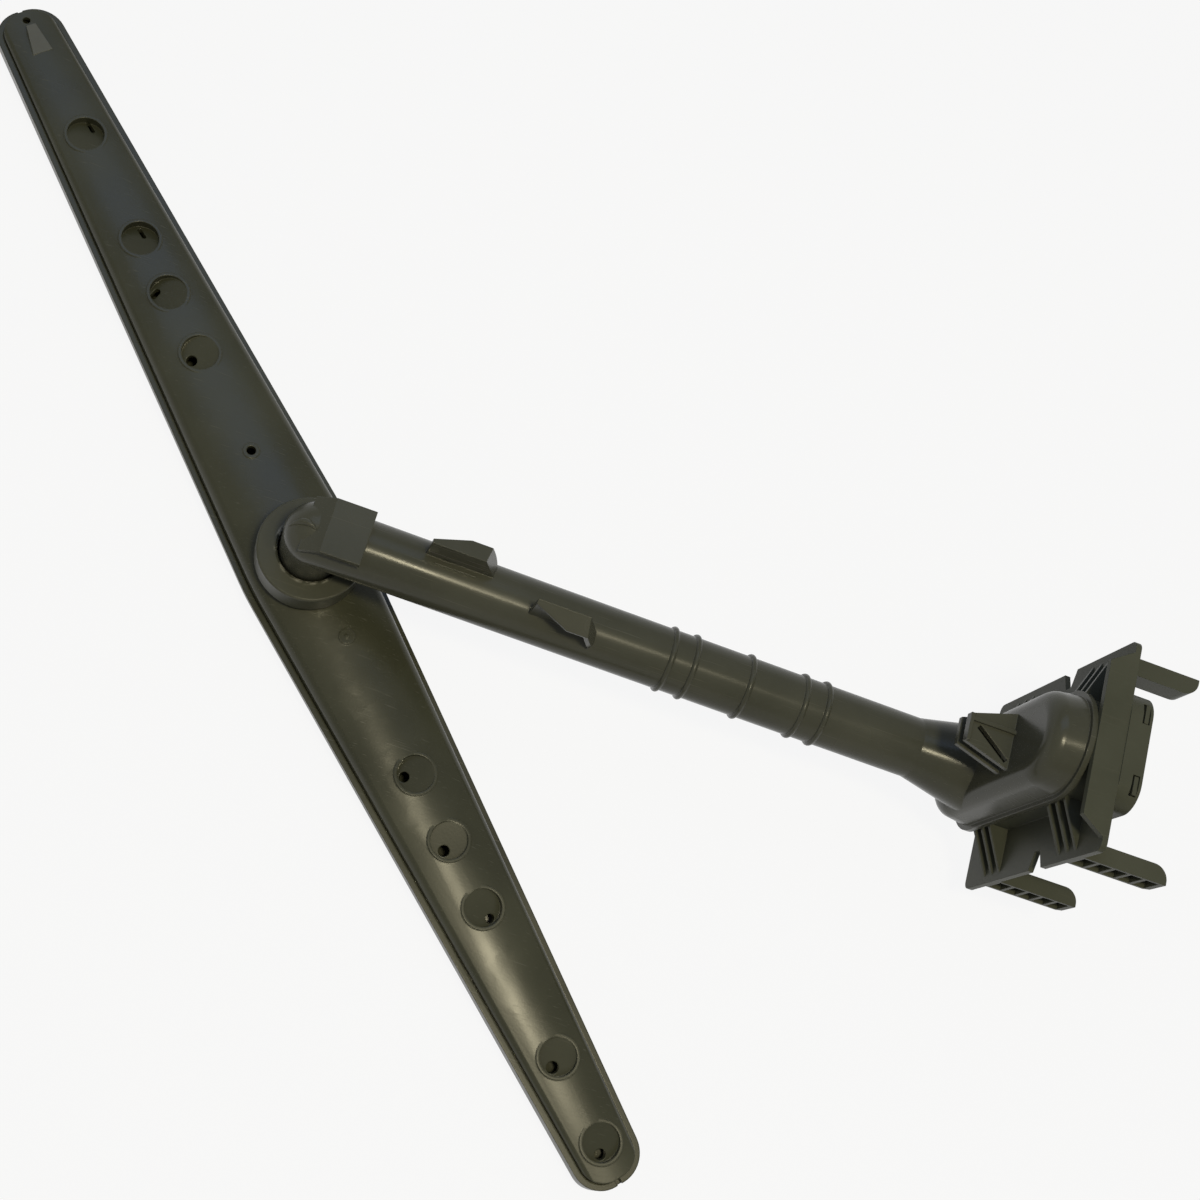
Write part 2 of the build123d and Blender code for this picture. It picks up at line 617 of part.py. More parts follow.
# Bearing ring: the flange that shows on the arm and a skirt inside its hole
with BuildPart() as hub_ring:
    with BuildSketch(level(BOSS_TOP)):
        Circle(RING_RADIUS)
    extrude(amount=RING_TOP - BOSS_TOP)
    fillet(hub_ring.edges().group_by(Axis.Z)[-1], RING_EDGE)
    with BuildSketch(level(RING_SEAT)):
        Circle(HUB_HOLE_RADIUS - FIT_GAP)
    extrude(amount=RING_SKIRT)
    with BuildSketch(level(RING_SEAT)):
        Circle(SPOUT_RADIUS + RING_GAP)
    extrude(amount=RING_TOP - RING_SEAT, mode=Mode.SUBTRACT)
    chamfer(hub_ring.edges().group_by(Axis.Z)[-1].sort_by(SortBy.RADIUS)[0], RING_EDGE)
hub_ring.part.label = "hub_ring"

# Raised wedge at the far tip, in front of the tip jet
far_crown = crown_at(HALF_ARM - WEDGE_FOOT)
with BuildPart() as tip_wedge:
    with BuildSketch(level(0)):
        with BuildLine():
            Polyline(
                (WEDGE_FOOT - HALF_ARM, -WEDGE_WIDTH / 2),
                (WEDGE_FOOT - HALF_ARM, WEDGE_WIDTH / 2),
                (WEDGE_TOP - HALF_ARM, WEDGE_TOP_WIDTH / 2),
                (WEDGE_TOP - HALF_ARM, -WEDGE_TOP_WIDTH / 2),
                close=True,
            )
        make_face()
    extrude(amount=2 * BOSS_TOP)
    arm_side = Plane(origin=HUB, x_dir=level(0).x_dir, z_dir=-level(0).y_dir)
    with BuildSketch(arm_side):
        with BuildLine():
            Polyline(
                (WEDGE_FOOT - HALF_ARM, far_crown),
                (WEDGE_TOP - HALF_ARM, far_crown + WEDGE_RISE),
                (WEDGE_TOP - HALF_ARM, far_crown - ARM_WALL),
                (WEDGE_FOOT - HALF_ARM, far_crown - ARM_WALL),
                close=True,
            )
        make_face()
    extrude(amount=WEDGE_WIDTH, both=True, mode=Mode.INTERSECT)

# Upper shell of the wash arm with its boss, nozzles, jets and moulded marks
upper_solid = arm_body(
    RIM_WIDTH, ARM_CROWN_HUB, ARM_CROWN_TIP, ARM_SIDE_HUB, ARM_SIDE_TIP, SHOULDER_SHARE
)
upper_hollow = arm_body(
    RIM_WIDTH + ARM_WALL,
    ARM_CROWN_HUB - ARM_WALL,
    ARM_CROWN_TIP - ARM_WALL,
    ARM_SIDE_HUB - ARM_WALL,
    ARM_SIDE_TIP - ARM_WALL,
    SHOULDER_SHARE,
)
nozzle_cups = [nozzle_cup(row[0] * HALF_ARM, row[1], row[2]) for row in NOZZLES]
with BuildPart() as arm_upper_shell:
    add(upper_solid)
    with BuildSketch(level(0)):
        Circle(BOSS_RADIUS)
    extrude(amount=BOSS_TOP)
    add(upper_hollow, mode=Mode.SUBTRACT)
    add(tip_wedge.part)
    for share, along, across, jet, slot, heading in NOZZLES:
        u = share * HALF_ARM
        with BuildSketch(level(crown_at(u) - NOZZLE_ROOT)):
            with Locations((u, 0)):
                Circle(NOZZLE_RADIUS + NOZZLE_RIM)
        extrude(amount=NOZZLE_ROOT + NOZZLE_LIP)
    add(nozzle_cups, mode=Mode.SUBTRACT)
    for share, along, across, jet, slot, heading in NOZZLES:
        with BuildSketch(nozzle_floor(share * HALF_ARM, along, across)):
            with Locations((along, across)):
                if slot > 0:
                    SlotCenterToCenter(slot, 2 * jet, rotation=heading)
                else:
                    Circle(jet)
        extrude(amount=-NOZZLE_ROOT, mode=Mode.SUBTRACT)
    bleed = BLEED_SHARE * HALF_ARM
    gate = GATE_SHARE * HALF_ARM
    for u, radius, rise in (
        (bleed, BLEED_COLLAR, MARK_HEIGHT),
        (gate, GATE_RADIUS, MARK_HEIGHT),
        (gate, GATE_DOT, 2 * MARK_HEIGHT),
    ):
        with BuildSketch(level(crown_at(u) - ARM_WALL / 2)):
            with Locations((u, 0)):
                Circle(radius)
        extrude(amount=ARM_WALL / 2 + rise)
    with BuildSketch(level(0)):
        Circle(HUB_HOLE_RADIUS)
        with Locations((bleed, 0)):
            Circle(BLEED_RADIUS)
    extrude(amount=BOSS_TOP, mode=Mode.SUBTRACT)
    with BuildSketch(level(0)):
        with Locations((TIP_JET_INSET - HALF_ARM, 0)):
            Circle(TIP_JET_RADIUS)
    extrude(amount=BOSS_TOP, mode=Mode.SUBTRACT)
arm_upper_shell.part.label = "arm_upper_shell"

# Lower shell: a shallow boat whose rim stands round the foot of the upper shell,
# with a pad under the hub and jets that spray down
lower_solid = arm_body(0, ARM_DEPTH_HUB, ARM_DEPTH_TIP, ARM_CHINE_HUB, ARM_CHINE_TIP, CHINE_SHARE)
lower_solid = lower_solid.mirror(level(0))
lower_hollow = arm_body(
    RIM_WIDTH + ARM_WALL,
    ARM_DEPTH_HUB - ARM_WALL,
    ARM_DEPTH_TIP - ARM_WALL,
    ARM_CHINE_HUB,
    ARM_CHINE_TIP - ARM_WALL,
    CHINE_SHARE,
)
lower_hollow = lower_hollow.mirror(level(0))
with BuildPart() as arm_lower_shell:
    add(lower_solid)
    with BuildSketch(level(0)):
        add(arm_plan(0))
    extrude(amount=RIM_HEIGHT)
    with BuildSketch(level(0)):
        add(arm_plan(RIM_WIDTH - SEAM_GAP))
    extrude(amount=RIM_HEIGHT, mode=Mode.SUBTRACT)
    add(lower_hollow, mode=Mode.SUBTRACT)
    with BuildSketch(level(RIM_HEIGHT)):
        with GridLocations(ARM_LENGTH, 1, 2, 1):
            Rectangle(2 * DRAIN_LENGTH, DRAIN_WIDTH)
    extrude(amount=-2 * RIM_HEIGHT, mode=Mode.SUBTRACT)
    with BuildSketch(level(-ARM_DEPTH_HUB - PAD_RISE)):
        Circle(PAD_RADIUS)
    extrude(amount=PAD_RISE + PAD_ROOT)
    for share in DOWN_SHARES:
        keel = ARM_DEPTH_HUB + (ARM_DEPTH_TIP - ARM_DEPTH_HUB) * abs(share)
        jet_plane = level(-keel - MARK_HEIGHT)
        with BuildSketch(jet_plane):
            with Locations((share * HALF_ARM, 0)):
                Circle(DOWN_COLLAR)
        extrude(amount=MARK_HEIGHT + ARM_WALL / 2)
        with BuildSketch(jet_plane):
            with Locations((share * HALF_ARM, 0)):
                Circle(DOWN_RADIUS)
        extrude(amount=MARK_HEIGHT + 2 * ARM_WALL, mode=Mode.SUBTRACT)
arm_lower_shell.part.label = "arm_lower_shell"

os.makedirs("parts", exist_ok=True)
export_step(feed_tube.part, "parts/feed_tube.step")
export_step(docking_plate.part, "parts/docking_plate.step")
export_step(docking_seal.part, "parts/docking_seal.step")
export_step(seal_retainer.part, "parts/seal_retainer.step")
export_step(retaining_ring.part, "parts/retaining_ring.step")
export_step(hub_ring.part, "parts/hub_ring.step")
export_step(arm_upper_shell.part, "parts/arm_upper_shell.step")
export_step(arm_lower_shell.part, "parts/arm_lower_shell.step")
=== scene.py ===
# %% [markdown]
# Wash arm manifold of a dishwasher, dressed in Blender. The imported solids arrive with
# every piece in its place, so this lesson is about finishes, small moulded marks, light
# and the camera. All lengths are metres, in the frame of the solids: the origin is the
# centre of the inlet mouth, X points out of the inlet and Z is up.

# %% Load the frame
import math

import bmesh
import bpy
from mathutils import Matrix, Vector


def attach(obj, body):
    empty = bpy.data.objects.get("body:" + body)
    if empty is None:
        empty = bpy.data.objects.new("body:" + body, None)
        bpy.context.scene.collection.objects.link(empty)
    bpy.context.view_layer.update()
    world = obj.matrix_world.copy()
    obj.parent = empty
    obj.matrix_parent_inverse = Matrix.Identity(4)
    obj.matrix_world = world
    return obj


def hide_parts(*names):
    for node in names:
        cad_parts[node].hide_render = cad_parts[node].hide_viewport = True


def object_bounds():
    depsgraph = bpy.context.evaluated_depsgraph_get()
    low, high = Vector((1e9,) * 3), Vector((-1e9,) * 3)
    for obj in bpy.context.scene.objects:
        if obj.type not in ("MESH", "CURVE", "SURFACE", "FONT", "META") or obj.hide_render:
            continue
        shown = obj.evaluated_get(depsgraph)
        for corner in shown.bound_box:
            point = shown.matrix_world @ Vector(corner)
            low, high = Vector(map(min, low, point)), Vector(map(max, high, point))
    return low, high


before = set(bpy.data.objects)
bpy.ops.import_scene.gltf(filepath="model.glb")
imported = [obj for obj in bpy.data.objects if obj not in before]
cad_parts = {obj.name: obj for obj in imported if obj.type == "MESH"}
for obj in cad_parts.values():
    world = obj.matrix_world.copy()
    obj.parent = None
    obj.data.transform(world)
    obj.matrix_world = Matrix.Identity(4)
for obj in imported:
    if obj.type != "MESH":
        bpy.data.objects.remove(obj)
cad_low, cad_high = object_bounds()
MM = 0.001
print("solids:", sorted(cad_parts), "box", cad_low, cad_high)

# %% [markdown]
# Colours are written as the eye sees them on a screen, in sRGB hex. Shaders count in
# linear light, so one function turns a hex value into linear numbers. One more small
# function adds a shader node, sets what is named and draws its links, and every finish
# below is built with it. A Mix node has its own sockets for colours and for numbers,
# which share their names, so they are picked by their place.

# %% Colour and node helpers
COLOUR_A, COLOUR_B, COLOUR_OUT = 6, 7, 2    # a Mix node's sockets for colours
NUMBER_A, NUMBER_B, NUMBER_OUT = 2, 3, 0    # and for plain numbers


def linear(hex_colour):
    parts = [int(hex_colour[i:i + 2], 16) / 255 for i in (1, 3, 5)]
    lit = [p / 12.92 if p <= 0.04045 else ((p + 0.055) / 1.055) ** 2.4 for p in parts]
    return (*lit, 1.0)


def put(tree, kind, settings=None, links=None):
    made = tree.nodes.new("ShaderNode" + kind)
    for name, value in (settings or {}).items():
        if isinstance(name, int) or name in made.inputs:
            made.inputs[name].default_value = value
        else:
            setattr(made, name, value)
    for name, source in (links or {}).items():
        tree.links.new(source, made.inputs[name])
    return made


def blank_material(name):
    material = bpy.data.materials.new(name)
    material.use_nodes = True
    material.node_tree.nodes.clear()
    return material, material.node_tree


print("middle grey in linear light:", linear("#808080"))

# %% [markdown]
# The tube, plate, ring and arm are moulded from dark olive-grey polypropylene filled
# with talc. The mould is spark-eroded, which leaves a fine even grain and a satin
# surface. The melt clouds it slowly, talc shows as faint specks, and years of sliding
# racks leave fine scuffs along each piece.
#
# Real moulded edges are never razor sharp, so a Bevel node rounds the normals over about
# half a millimetre, and the difference between that and the true normal marks the edges,
# which rub a bit paler. A mesh bevel would do the same, but the solids keep their own
# mesh.

# %% Colour of moulded polypropylene
SPECK = 2.2 * MM          # talc specks
SCUFF_LENGTH = 26 * MM    # scuffs are long and thin
SCUFF_WIDTH = 0.5 * MM    # drawn a little wider than life so that they show
SCUFF_TONE = "#54544A"
EDGE_TONE = "#33332B"     # screened over the body's colour where edges rub


def scuff_mask(tree, place, turn):
    stretched = put(tree, "Mapping", {
        "Rotation": (0, 0, math.radians(turn)),
        "Scale": (1 / SCUFF_LENGTH, 1 / SCUFF_WIDTH, 1 / SCUFF_WIDTH),
    }, {"Vector": place})
    scuffs = put(tree, "TexNoise", {"Scale": 1.0, "Detail": 1.0},
                 {"Vector": stretched.outputs["Vector"]})
    return put(tree, "MapRange", {"From Min": 0.66, "From Max": 0.78, "To Max": 0.5},
               {"Value": scuffs.outputs["Fac"]}).outputs["Result"]


def edge_mask(tree, rounded):
    true_normal = put(tree, "NewGeometry").outputs["Normal"]
    facing = put(tree, "VectorMath", {"operation": "DOT_PRODUCT"}, {0: rounded, 1: true_normal})
    return put(tree, "MapRange", {"From Min": 0.995, "From Max": 0.80, "To Max": 0.4},
               {"Value": facing.outputs["Value"]}).outputs["Result"]


def plastic_colour(tree, place, clouds, scuffs, edges, body, pale):
    specks = put(tree, "TexNoise", {"Scale": 1 / SPECK, "Detail": 2.0, "Roughness": 0.6},
                 {"Vector": place})
    cloud_share = put(tree, "MapRange", {"From Min": 0.35, "From Max": 0.65}, {"Value": clouds})
    speck_share = put(tree, "MapRange", {"From Min": 0.52, "From Max": 0.75, "To Max": 0.35},
                      {"Value": specks.outputs["Fac"]})
    clouded = put(tree, "Mix",
                  {"data_type": "RGBA", COLOUR_A: linear(body), COLOUR_B: linear(pale)},
                  {"Factor": cloud_share.outputs["Result"]})
    specked = put(tree, "Mix", {"data_type": "RGBA", COLOUR_B: linear(pale)},
                  {"Factor": speck_share.outputs["Result"], COLOUR_A: clouded.outputs[COLOUR_OUT]})
    scuffed = put(tree, "Mix", {"data_type": "RGBA", COLOUR_B: linear(SCUFF_TONE)},
                  {"Factor": scuffs, COLOUR_A: specked.outputs[COLOUR_OUT]})
    rubbed = put(tree, "Mix",
                 {"data_type": "RGBA", "blend_type": "SCREEN", COLOUR_B: linear(EDGE_TONE)},
                 {"Factor": edges, COLOUR_A: scuffed.outputs[COLOUR_OUT]})
    return rubbed.outputs[COLOUR_OUT]


print("specks", SPECK / MM, "mm, scuffs", SCUFF_LENGTH / MM, "by", SCUFF_WIDTH / MM, "mm")

# %% [markdown]
# The colour meets the grain and the satin in one shader. Each piece has its own tone and
# gloss, because the pieces come from different moulds and wear in different ways.

# %% Moulded polypropylene
GRAIN = 0.8 * MM          # spark-eroded grain, drawn coarser than life so that it shows
FLOW = 38 * MM            # slow clouding where the melt flowed
PP_IOR = 1.49


def polypropylene(tree, body, pale, rough, gloss, edge_round, grain_depth, scuff_turn):
    place = put(tree, "TexCoord").outputs["Object"]
    clouds = put(tree, "TexNoise", {"Scale": 1 / FLOW, "Detail": 3.0, "Roughness": 0.55},
                 {"Vector": place}).outputs["Fac"]
    grain = put(tree, "TexNoise", {"Scale": 1 / GRAIN, "Detail": 2.0, "Roughness": 0.7},
                {"Vector": place}).outputs["Fac"]
    rounded = put(tree, "Bevel", {"samples": 6, "Radius": edge_round}).outputs["Normal"]
    scuffs = scuff_mask(tree, place, scuff_turn)
    edges = edge_mask(tree, rounded)
    colour = plastic_colour(tree, place, clouds, scuffs, edges, body, pale)
    satin = put(tree, "MapRange", {"From Min": 0.3, "From Max": 0.7,
                                   "To Min": rough - 0.05, "To Max": rough + 0.06},
                {"Value": clouds})
    dulled = put(tree, "Math", {"operation": "MULTIPLY_ADD", 1: 0.2},
                 {0: scuffs, 2: satin.outputs["Result"]})
    bump = put(tree, "Bump", {"Strength": 0.35, "Distance": grain_depth},
               {"Height": grain, "Normal": rounded})
    shader = put(tree, "BsdfPrincipled", {"IOR": PP_IOR, "Specular IOR Level": gloss},
                 {"Base Color": colour, "Roughness": dulled.outputs["Value"],
                  "Normal": bump.outputs["Normal"]})
    return shader.outputs["BSDF"]


def moulded_polypropylene(name, **look):
    material, tree = blank_material(name)
    put(tree, "OutputMaterial", None, {"Surface": polypropylene(tree, **look)})
    return material


ARM_HEADING = 45.3        # turns the arm's length onto X, in degrees
tube_finish = moulded_polypropylene(
    "moulded_polypropylene_tube", body="#43443B", pale="#4A4B42", rough=0.24, gloss=0.18,
    edge_round=0.5 * MM, grain_depth=0.045 * MM, scuff_turn=0,
)
plate_finish = moulded_polypropylene(
    "moulded_polypropylene_plate", body="#45473D", pale="#4C4E44", rough=0.38, gloss=0.1,
    edge_round=0.4 * MM, grain_depth=0.045 * MM, scuff_turn=0,
)
arm_finish = moulded_polypropylene(
    "moulded_polypropylene_arm", body="#393A2D", pale="#404133", rough=0.28, gloss=0.32,
    edge_round=0.6 * MM, grain_depth=0.035 * MM, scuff_turn=ARM_HEADING,
)
print("polypropylene grain", GRAIN / MM, "mm, clouding", FLOW / MM, "mm")

# %% [markdown]
# The bearing ring is the same plastic, but water drips and dries at its inner edge and
# leaves a thin crust of lime there. The crust is pale, matt and patchy. It could be a
# piece of its own, but it is only a few hundredths of a millimetre thick, so it is mixed
# over the ring's shader: a mask from the distance to the spin axis, broken up by noise.

# %% Lime on the bearing ring
SPIN_AXIS_X = -277 * MM
LIME_START, LIME_END = 12.3 * MM, 13.3 * MM    # from the spin axis
LIME_COVER = 0.75                              # share of the plastic that it hides at most
LIME_PATCH = 4.5 * MM
LIME_TONE = "#C4C2B6"
LIME_IOR = 1.5


def lime_mask(tree):
    place = put(tree, "TexCoord").outputs["Object"]
    centred = put(tree, "Mapping", {"Location": (-SPIN_AXIS_X, 0, 0), "Scale": (1, 1, 0)},
                  {"Vector": place})
    reach = put(tree, "VectorMath", {"operation": "LENGTH"}, {0: centred.outputs["Vector"]})
    near = put(tree, "MapRange", {"From Min": LIME_START, "From Max": LIME_END,
                                  "To Min": LIME_COVER, "To Max": 0.0},
               {"Value": reach.outputs["Value"]})
    patches = put(tree, "TexNoise", {"Scale": 1 / LIME_PATCH, "Detail": 5.0, "Roughness": 0.6},
                  {"Vector": place})
    patchy = put(tree, "MapRange", {"From Min": 0.48, "From Max": 0.66},
                 {"Value": patches.outputs["Fac"]})
    return put(tree, "Math", {"operation": "MULTIPLY"},
               {0: near.outputs["Result"], 1: patchy.outputs["Result"]}).outputs["Value"]


ring_finish, ring_tree = blank_material("moulded_polypropylene_ring")
ring_plastic = polypropylene(
    ring_tree, body="#45463C", pale="#4C4D43", rough=0.34, gloss=0.15,
    edge_round=0.5 * MM, grain_depth=0.04 * MM, scuff_turn=0,
)
crust = put(ring_tree, "BsdfPrincipled",
            {"Base Color": linear(LIME_TONE), "Roughness": 0.75, "IOR": LIME_IOR})
limed = put(ring_tree, "MixShader", None,
            {0: lime_mask(ring_tree), 1: ring_plastic, 2: crust.outputs["BSDF"]})
put(ring_tree, "OutputMaterial", None, {"Surface": limed.outputs["Shader"]})
print("lime from", LIME_START / MM, "to", LIME_END / MM, "mm round the spin axis")

# %% [markdown]
# The docking seal is black EPDM rubber. It is matter than the plastic, slightly dusty,
# and shows the fine ring marks of its mould. Noise gives the dust and a Wave texture
# gives the rings about the inlet axis.

# %% EPDM rubber
RING_MARK, RING_DEPTH = 1.1 * MM, 0.06 * MM
WAVE_REPEAT = 2 * math.pi / 20    # a Wave texture of scale 1 repeats after this length
DUST = 3 * MM
RUBBER_TONE, DUST_TONE = "#1B1C1B", "#2C2D2B"
RUBBER_IOR = 1.52
seal_finish, seal_tree = blank_material("moulded_epdm_rubber")
seal_place = put(seal_tree, "TexCoord").outputs["Object"]
rings = put(seal_tree, "TexWave", {"wave_type": "RINGS", "rings_direction": "X",
                                   "Scale": WAVE_REPEAT / RING_MARK, "Distortion": 0.3},
            {"Vector": seal_place})
dust = put(seal_tree, "TexNoise", {"Scale": 1 / DUST, "Detail": 4.0}, {"Vector": seal_place})
dusted = put(seal_tree, "Mix",
             {"data_type": "RGBA", COLOUR_A: linear(RUBBER_TONE), COLOUR_B: linear(DUST_TONE)},
             {"Factor": dust.outputs["Fac"]})
matt = put(seal_tree, "MapRange", {"To Min": 0.55, "To Max": 0.75},
           {"Value": dust.outputs["Fac"]})
ribbed = put(seal_tree, "Bump", {"Strength": 0.3, "Distance": RING_DEPTH},
             {"Height": rings.outputs["Fac"]})
rubber = put(seal_tree, "BsdfPrincipled", {"IOR": RUBBER_IOR},
             {"Base Color": dusted.outputs[COLOUR_OUT], "Roughness": matt.outputs["Result"],
              "Normal": ribbed.outputs["Normal"]})
put(seal_tree, "OutputMaterial", None, {"Surface": rubber.outputs["BSDF"]})
print("rubber ring marks", RING_MARK / MM, "mm")

# %% [markdown]
# Each solid now takes its finish through its own material slot. Nothing is moved or
# reshaped.

# %% Finishes onto the solids
FINISHES = {
    "feed_tube": tube_finish,
    "docking_plate": plate_finish,
    "docking_seal": seal_finish,
    "seal_retainer": plate_finish,
    "retaining_ring": ring_finish,
    "hub_ring": ring_finish,
    "arm_upper_shell": arm_finish,
    "arm_lower_shell": arm_finish,
}
for name, finish in FINISHES.items():
    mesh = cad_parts[name].data
    mesh.materials.clear()
    mesh.materials.append(finish)
print("finished", len(FINISHES), "solids")

# %% [markdown]
# New pieces are modelled with bmesh operators. The first helper closes a finished shape:
# it merges doubles, turns the faces outwards, shades it smooth with its sharp corners
# kept, and lets it ride on the body that carries it. The second extrudes faces along a
# way and gives back the new end, and the third stands a shape that was made upright on a
# point, along a way.

# %% Helpers for new pieces
SHARP = math.radians(35)
DOUBLES = 0.001 * MM


def finished_piece(name, shape, finish, body):
    bmesh.ops.remove_doubles(shape, verts=shape.verts[:], dist=DOUBLES)
    bmesh.ops.recalc_face_normals(shape, faces=shape.faces[:])
    mesh = bpy.data.meshes.new(name)
    shape.to_mesh(mesh)
    shape.free()
    mesh.shade_smooth()
    mesh.set_sharp_from_angle(angle=SHARP)
    mesh.materials.append(finish)
    piece = bpy.data.objects.new(name, mesh)
    bpy.context.scene.collection.objects.link(piece)
    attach(piece, body)
    print(name, len(mesh.polygons), "faces")
    return piece


def drawn_out(shape, faces, way):
    grown = bmesh.ops.extrude_face_region(shape, geom=faces)["geom"]
    moved = [item for item in grown if isinstance(item, bmesh.types.BMVert)]
    bmesh.ops.translate(shape, verts=moved, vec=way)
    return [item for item in grown if isinstance(item, bmesh.types.BMFace)]


def stood_on(point, way):
    turn = Vector((0, 0, 1)).rotation_difference(way).to_matrix().to_4x4()
    return Matrix.Translation(point) @ turn


# %% [markdown]
# The seal in the inlet is a soft ring with a rounded nose, a fold behind the nose that
# lets it give, and two fine beads on its front. The solid only holds its room. A
# section of a few points with rounded corners, spun once round the inlet axis, gives
# the real form.

# %% Docking seal
SEAL_ROUND = 0.3 * MM
SEAL_STEPS = 120
SEAL_SECTION = (          # radius and place along X in millimetres
    (12.5, -8.0), (12.5, -0.9), (13.1, 0.0), (13.5, -0.4), (13.9, 0.0), (14.6, -0.6), (14.7, -1.6),
    (14.0, -2.0), (14.0, -2.5), (14.8, -2.9), (18.0, -2.9), (18.0, -7.9), (14.7, -8.0),
)
section = bmesh.new()
corners = [section.verts.new((along * MM, 0, radius * MM)) for radius, along in SEAL_SECTION]
for first, second in zip(corners, corners[1:] + corners[:1]):
    section.edges.new((first, second))
bmesh.ops.bevel(section, geom=section.verts[:] + section.edges[:], affect="VERTICES",
                offset=SEAL_ROUND, segments=3, profile=0.5, material=-1)
bmesh.ops.spin(section, geom=section.verts[:] + section.edges[:], cent=(0, 0, 0), axis=(1, 0, 0),
               angle=2 * math.pi, steps=SEAL_STEPS, use_merge=True)
seal = finished_piece("lipped_docking_seal", section, seal_finish, "manifold")
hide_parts("docking_seal")

# %% [markdown]
# Pins push a moulding out of its mould and leave round marks with a fine raised ring.
# They show on the rear of the docking plate and under the arm. Each mark is a disc that
# is extruded, inset and pressed down in its middle. A bump texture could show them too,
# but then they would vanish from the mesh.

# %% Ejector marks
PIN_SIDES = 40
PIN_RADIUS = 2.6 * MM
PIN_RISE = 0.2 * MM
PIN_RING = 0.4 * MM
PIN_SINK = 0.14 * MM
PIN_ROOT = 0.3 * MM


def ejector_mark(shape, spot, facing):
    before = set(shape.verts)
    disc = bmesh.ops.create_circle(shape, cap_ends=True, segments=PIN_SIDES, radius=PIN_RADIUS)
    top = drawn_out(shape, disc["verts"][0].link_faces[:], (0, 0, PIN_RISE + PIN_ROOT))
    bmesh.ops.inset_region(shape, faces=top, thickness=PIN_RING, use_even_offset=True)
    bmesh.ops.inset_region(shape, faces=top, thickness=PIN_SINK, depth=-PIN_SINK,
                           use_even_offset=True)
    bmesh.ops.transform(shape, matrix=stood_on(spot - facing * PIN_ROOT, facing),
                        verts=[vert for vert in shape.verts if vert not in before])


PLATE_REAR_X = -8 * MM
PLATE_MARKS = (           # across and up, in millimetres
    (24, -38), (-24, -38), (24, -73), (-24, -73), (0, -36),
)
plate_pins = bmesh.new()
for across, up in PLATE_MARKS:
    ejector_mark(plate_pins, Vector((PLATE_REAR_X, across * MM, up * MM)), Vector((1, 0, 0)))
finished_piece("plate_ejector_marks", plate_pins, plate_finish, "manifold")

SEAM_Z = -90 * MM                           # where the arm's two halves meet
HALF_ARM = 241.8 * MM
KEEL_HUB, KEEL_TIP = 10.0 * MM, 7.4 * MM    # depth of the lower half under the seam
ARM_MARKS = (-0.76, -0.52, 0.34, 0.85)      # shares of the half arm
arm_turn = math.radians(ARM_HEADING)
arm_way = Vector((math.cos(arm_turn), -math.sin(arm_turn), 0))
arm_pins = bmesh.new()
for share in ARM_MARKS:
    keel = KEEL_HUB + (KEEL_TIP - KEEL_HUB) * abs(share)
    spot = Vector((SPIN_AXIS_X, 0, SEAM_Z - keel)) + arm_way * share * HALF_ARM
    ejector_mark(arm_pins, spot, Vector((0, 0, -1)))
finished_piece("arm_ejector_marks", arm_pins, arm_finish, "wash_arm")

# %% [markdown]
# The mould of the tube parts along its underside, where a hair of plastic creeps between
# the halves. The ridge is three points, extruded along the tube and its slight fall.

# %% Parting ridge under the tube
ELBOW_RISE, HOOD_RISE = 41.3 * MM, 35.8 * MM    # the tube's axis above the arm's seam
HOOD_X = -32 * MM
TUBE_RADIUS = 11.1 * MM
RIDGE_FROM, RIDGE_TO = 14 * MM, 222 * MM        # along the tube from the spin axis
RIDGE_RISE, RIDGE_ROOT = 0.22 * MM, 0.1 * MM
RIDGE_SIDE = Vector((0, 0.35 * MM, 0))
tube_start = Vector((SPIN_AXIS_X, 0, SEAM_Z + ELBOW_RISE))
tube_end = Vector((HOOD_X, 0, SEAM_Z + HOOD_RISE))
tube_way = (tube_end - tube_start).normalized()
down = tube_way.cross(Vector((0, 1, 0))) * -1
foot = tube_start + tube_way * RIDGE_FROM + down * TUBE_RADIUS
root = foot - down * RIDGE_ROOT
ridge = bmesh.new()
ridge_points = (root + RIDGE_SIDE, root - RIDGE_SIDE, foot + down * RIDGE_RISE)
ridge_end = ridge.faces.new([ridge.verts.new(point) for point in ridge_points])
drawn_out(ridge, [ridge_end], tube_way * (RIDGE_TO - RIDGE_FROM))
finished_piece("tube_parting_ridge", ridge, tube_finish, "manifold")

# %% [markdown]
# A curved lip crosses the round elbow, where a slider of the mould met the main half. It
# is a bead: circles along a path, bridged one to the next and closed at both ends. Half
# of the bead sinks into the plastic. A bevelled curve could do the same, but a bmesh
# takes the swelling radius more directly.

# %% Lip on the elbow
BEAD_SIDES = 12


def bead(shape, path, radii):
    loops = []
    last = len(path) - 1
    for step, (point, radius) in enumerate(zip(path, radii)):
        ahead = path[min(step + 1, last)] - path[max(step - 1, 0)]
        circle = bmesh.ops.create_circle(shape, cap_ends=step in (0, last), segments=BEAD_SIDES,
                                         radius=radius, matrix=stood_on(point, ahead))
        own = set(circle["verts"])
        loops.append([edge for edge in shape.edges if own.issuperset(edge.verts)])
    for first, second in zip(loops, loops[1:]):
        bmesh.ops.bridge_loops(shape, edges=first + second)


